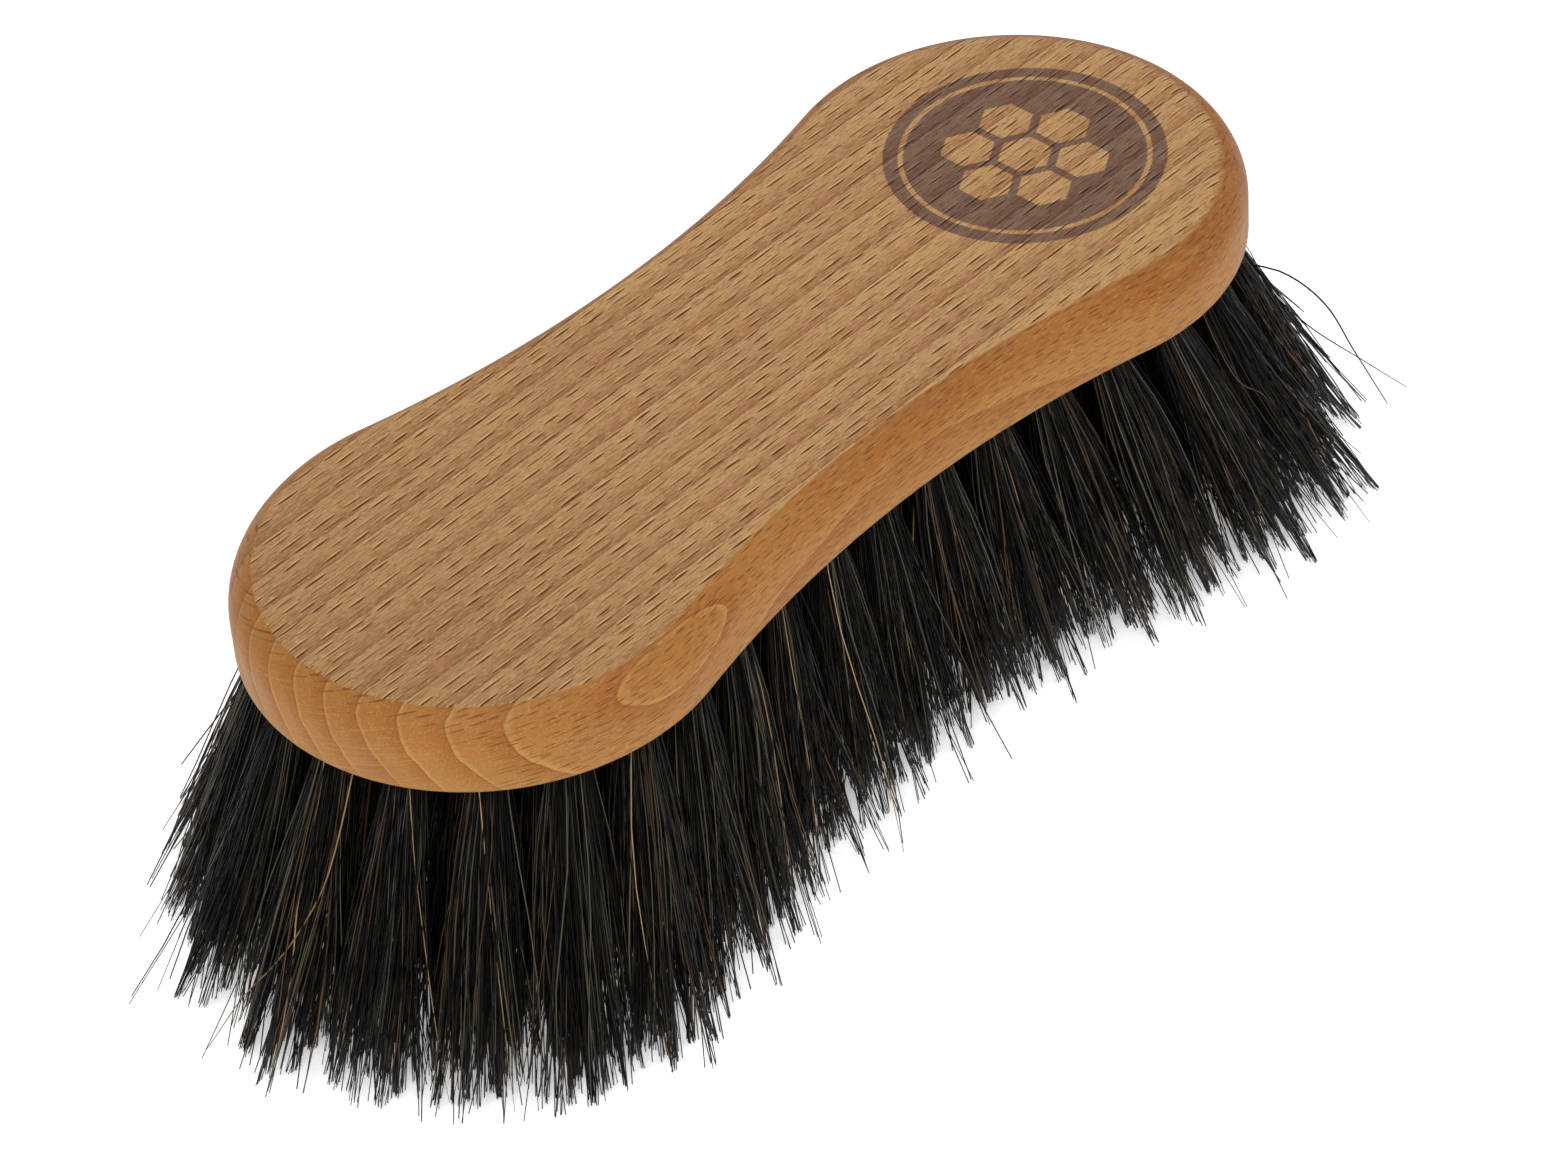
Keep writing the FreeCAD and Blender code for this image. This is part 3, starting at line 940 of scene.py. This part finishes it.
def make_loose_hairs(material):
    """The few long hairs that stand away from the tufts."""
    paths = []
    radii = []
    tones = []
    for lobe, turn_at_root, turn_at_tip, places, radius, tone in LOOSE_HAIRS:
        turns = np.radians(np.linspace(turn_at_root, turn_at_tip, LOOSE_RINGS))
        out, down = through(np.array(places, float), LOOSE_RINGS).T
        reach = half_width - EDGE_MARGIN + out
        x = lobe * lobe_x + reach * np.cos(turns)
        y = reach * np.sin(turns)
        paths.append(np.stack([x, y, underside_z + down], axis=1))
        radii.append(radius * np.interp(np.linspace(0, 1, LOOSE_RINGS), *LOOSE_TAPER))
        tones.append(tone)
    rolls = np.zeros(len(paths))
    mesh = hair_mesh("hair_loose", np.array(paths), np.array(radii), np.array(tones), rolls)
    piece = add_object("hair_loose", mesh, material)
    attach(piece, "root")


# ---------------------------------------------------------------- anchors


def wire():
    """Drawn steel wire."""
    steel = Shader("anchor_wire")
    x, y, z = steel.place()
    drawn = steel.noise(steel.combine(steel.math("MULTIPLY", x, 0.1), y, z), 8.0)
    colour = steel.mix(drawn, linear(150, 150, 146), linear(196, 196, 190))
    return steel.with_surface(Base_Color=colour, Metallic=1.0, Roughness=0.32)


# ---------------------------------------------------------------- studio

CAMERA_AZIMUTH = -44.094
CAMERA_ELEVATION = 41.94
CAMERA_ROLL = -4.575
CAMERA_DISTANCE = 908.393
CAMERA_TARGET = (-27.909, -31.245, underside_z)
CAMERA_LENS = 132.64
SENSOR_WIDTH = 36.0

LAMP_TARGET = (0.0, 0.0, 40.0)
FLOOR_REACH = 3000.0
FLOOR_COLOUR = (0.97, 0.97, 0.97, 1)
FLOOR_GLOW = 0.3
SKY_STRENGTH = 0.75
WHITE = (1, 1, 1, 1)


def make_camera():
    azimuth, elevation, roll = map(math.radians, (CAMERA_AZIMUTH, CAMERA_ELEVATION, CAMERA_ROLL))
    level_reach = math.cos(elevation)
    back = Vector(
        (math.sin(azimuth) * level_reach, -math.cos(azimuth) * level_reach, math.sin(elevation))
    )
    level = Vector((0, 0, 1)).cross(back).normalized()
    up = back.cross(level)
    right = level * math.cos(roll) + up * math.sin(roll)
    above = -level * math.sin(roll) + up * math.cos(roll)
    data = bpy.data.cameras.new("camera")
    data.sensor_width = SENSOR_WIDTH
    data.lens = CAMERA_LENS
    data.clip_start = 0.01
    data.clip_end = 20.0
    camera = bpy.data.objects.new("camera", data)
    place = (Vector(CAMERA_TARGET) + back * CAMERA_DISTANCE) * MM
    turn = Matrix((right, above, back)).transposed()
    camera.matrix_world = Matrix.Translation(place) @ turn.to_4x4()
    bpy.context.scene.collection.objects.link(camera)
    bpy.context.scene.camera = camera


def softbox(name, place, size, power):
    """A square lamp aimed at the middle of the brush."""
    data = bpy.data.lights.new(name, "AREA")
    data.shape = "SQUARE"
    data.size = size * MM
    data.energy = power
    lamp = bpy.data.objects.new(name, data)
    lamp.location = Vector(place) * MM
    aim = Vector(LAMP_TARGET) - Vector(place)
    lamp.rotation_euler = aim.to_track_quat("-Z", "Y").to_euler()
    bpy.context.scene.collection.objects.link(lamp)


def make_floor():
    reach = FLOOR_REACH * MM
    corners = [(-reach, -reach, 0), (reach, -reach, 0), (reach, reach, 0), (-reach, reach, 0)]
    mesh = bpy.data.meshes.new("floor")
    mesh.from_pydata(corners, [], [(0, 1, 2, 3)])
    paper = Shader("floor").with_surface(
        Base_Color=FLOOR_COLOUR,
        Roughness=0.9,
        Specular_IOR_Level=0.1,
        Emission_Color=WHITE,
        Emission_Strength=FLOOR_GLOW,
    )
    floor = add_object("floor", mesh, paper)


def make_world():
    world = bpy.data.worlds.new("studio")
    bpy.context.scene.world = world
    world.use_nodes = True
    sky = world.node_tree.nodes["Background"]
    sky.inputs["Color"].default_value = WHITE
    sky.inputs["Strength"].default_value = SKY_STRENGTH


# ---------------------------------------------------------------- the brush

make_camera()
make_world()
make_floor()
softbox("key", place=(-900, -800, 1500), size=800, power=19)
softbox("fill", place=(900, -900, 1300), size=1000, power=5)
bpy.context.scene.view_settings.view_transform = "Standard"

seats = {name: seats_of(name) for name in sorted(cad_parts) if name.startswith("tuft")}
hair_material = horsehair()
rng = np.random.default_rng(7)
for node, node_seats in seats.items():
    make_tufts(node, node_seats, hair_material, rng)
make_loose_hairs(hair_material)

block = make_block(beech(), [seat for node_seats in seats.values() for seat in node_seats])
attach(block, "root")
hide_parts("block")

anchor_material = wire()
for name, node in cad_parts.items():
    if name.startswith("anchors"):
        node.data.materials.clear()
        node.data.materials.append(anchor_material)
